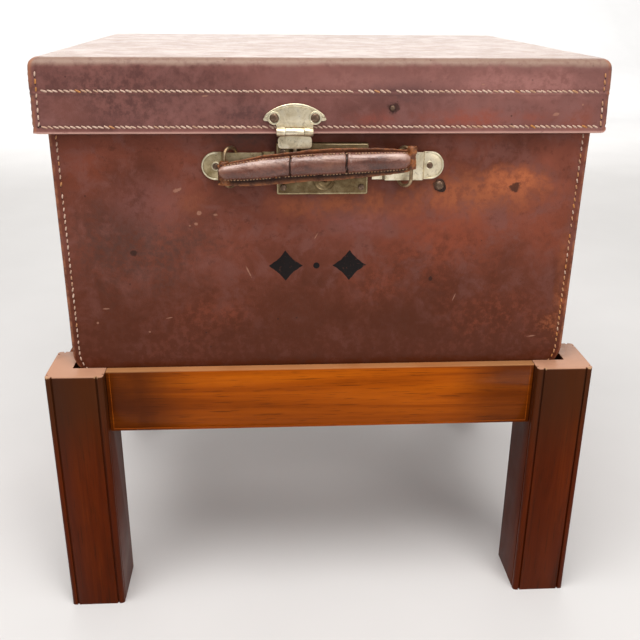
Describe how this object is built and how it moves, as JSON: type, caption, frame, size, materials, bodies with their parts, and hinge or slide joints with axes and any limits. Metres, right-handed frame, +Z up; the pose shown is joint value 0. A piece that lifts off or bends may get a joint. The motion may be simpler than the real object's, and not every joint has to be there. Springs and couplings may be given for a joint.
{
  "type": "hat box on stand",
  "caption": "Square leather hat box with a hinged overlapping lid, hasp and key lock, carrying handle on sliding rings, set in a low moulded wooden stand.",
  "frame": {"origin": "on the floor under the middle of the stand", "axes": "+Z up; +X to the right of someone facing the lock; the front with the lock and handle faces -Y"},
  "size_m": [0.494, 0.4258, 0.518],
  "materials": {
    "case_leather": "polished worn oxblood hide",
    "lined_board": "linen glued over board",
    "handle_leather": "glossy, worn and cracked",
    "stand_wood": "french polished mahogany",
    "pale_brass": "dull, tarnished",
    "dark_steel": "browned"
  },
  "bodies": {
    "stand": {"leg_front_left": "stand_wood", "leg_front_right": "stand_wood", "leg_back_left": "stand_wood", "leg_back_right": "stand_wood", "rail_front": "stand_wood", "rail_back": "stand_wood", "rail_left": "stand_wood", "rail_right": "stand_wood"},
    "box": {"body_front_leather": "case_leather", "body_back_leather": "case_leather", "body_left_leather": "case_leather", "body_right_leather": "case_leather", "body_base_leather": "case_leather", "body_front_board": "lined_board", "body_back_board": "lined_board", "body_left_board": "lined_board", "body_right_board": "lined_board", "body_floor_board": "lined_board", "hinge_body_leaf_left": "pale_brass", "hinge_body_leaf_right": "pale_brass", "hinge_pin_left": "dark_steel", "hinge_pin_right": "dark_steel", "lock_case": "pale_brass", "lock_plate": "pale_brass", "keyhole_boss": "pale_brass", "lock_rivet_lower_left": "dark_steel", "lock_rivet_lower_right": "dark_steel", "lock_rivet_upper_left": "dark_steel", "lock_rivet_upper_right": "dark_steel", "bracket_left": "pale_brass", "bracket_left_outer_rivet": "dark_steel", "bracket_left_inner_rivet": "dark_steel", "bracket_right": "pale_brass", "bracket_right_outer_rivet": "dark_steel", "bracket_right_inner_rivet": "dark_steel", "body_stud": "dark_steel"},
    "lid": {"lid_top_leather": "case_leather", "lid_front_leather": "case_leather", "lid_back_leather": "case_leather", "lid_left_leather": "case_leather", "lid_right_leather": "case_leather", "lid_top_board": "lined_board", "lid_front_board": "lined_board", "lid_back_board": "lined_board", "lid_left_board": "lined_board", "lid_right_board": "lined_board", "hinge_lid_leaf_left": "pale_brass", "hinge_lid_leaf_right": "pale_brass", "hasp_plate": "pale_brass", "hasp_pin": "dark_steel", "hasp_rivet_left": "dark_steel", "hasp_rivet_right": "dark_steel", "lid_stud": "dark_steel"},
    "tongue": {"hasp_tongue": "pale_brass"},
    "bolt": {"lock_bolt": "dark_steel"},
    "handle_middle": {"handle_middle": "handle_leather"},
    "handle_left": {"handle_left": "handle_leather"},
    "handle_right": {"handle_right": "handle_leather"},
    "ring_left": {"handle_ring_left": "pale_brass"},
    "ring_right": {"handle_ring_right": "pale_brass"}
  },
  "joints": [
    {"name": "box_lift", "type": "slide", "parent": "stand", "child": "box", "axis": [0, 0, 1], "range_m": [0, 0.1]},
    {"name": "lid_hinge", "type": "hinge", "parent": "box", "child": "lid", "pos_m": [0, 0.1958, 0.455], "axis": [-1, 0, 0], "range_deg": [0, 105]},
    {"name": "hasp_hinge", "type": "hinge", "parent": "lid", "child": "tongue", "pos_m": [-0.0248, -0.2019, 0.461], "axis": [-1, 0, 0], "range_deg": [0, 150]},
    {"name": "lock_slide", "type": "slide", "parent": "box", "child": "bolt", "axis": [-1, 0, 0], "range_m": [0, 0.008]},
    {"name": "handle_pull", "type": "slide", "parent": "box", "child": "handle_middle", "axis": [0, -1, 0], "range_m": [0, 0.023]},
    {"name": "handle_left_crack", "type": "hinge", "parent": "handle_middle", "child": "handle_left", "pos_m": [-0.03, -0.2018, 0.4346], "axis": [0, 0, -1], "range_deg": [0, 26.5]},
    {"name": "handle_right_crack", "type": "hinge", "parent": "handle_middle", "child": "handle_right", "pos_m": [0.0167, -0.2018, 0.4364], "axis": [0, 0, 1], "range_deg": [0, 25.5]},
    {"name": "ring_left_slide", "type": "slide", "parent": "box", "child": "ring_left", "axis": [1, 0, 0], "range_m": [0, 0.0047]},
    {"name": "ring_right_slide", "type": "slide", "parent": "box", "child": "ring_right", "axis": [-1, 0, 0], "range_m": [0, 0.0045]}
  ],
  "couplings": [
    {"joint": "handle_left_crack", "follows": "handle_pull", "rad_per_m": 19.54},
    {"joint": "handle_right_crack", "follows": "handle_pull", "rad_per_m": 18.667},
    {"joint": "ring_left_slide", "follows": "handle_pull", "ratio": 0.1943},
    {"joint": "ring_right_slide", "follows": "handle_pull", "ratio": 0.1857}
  ]
}
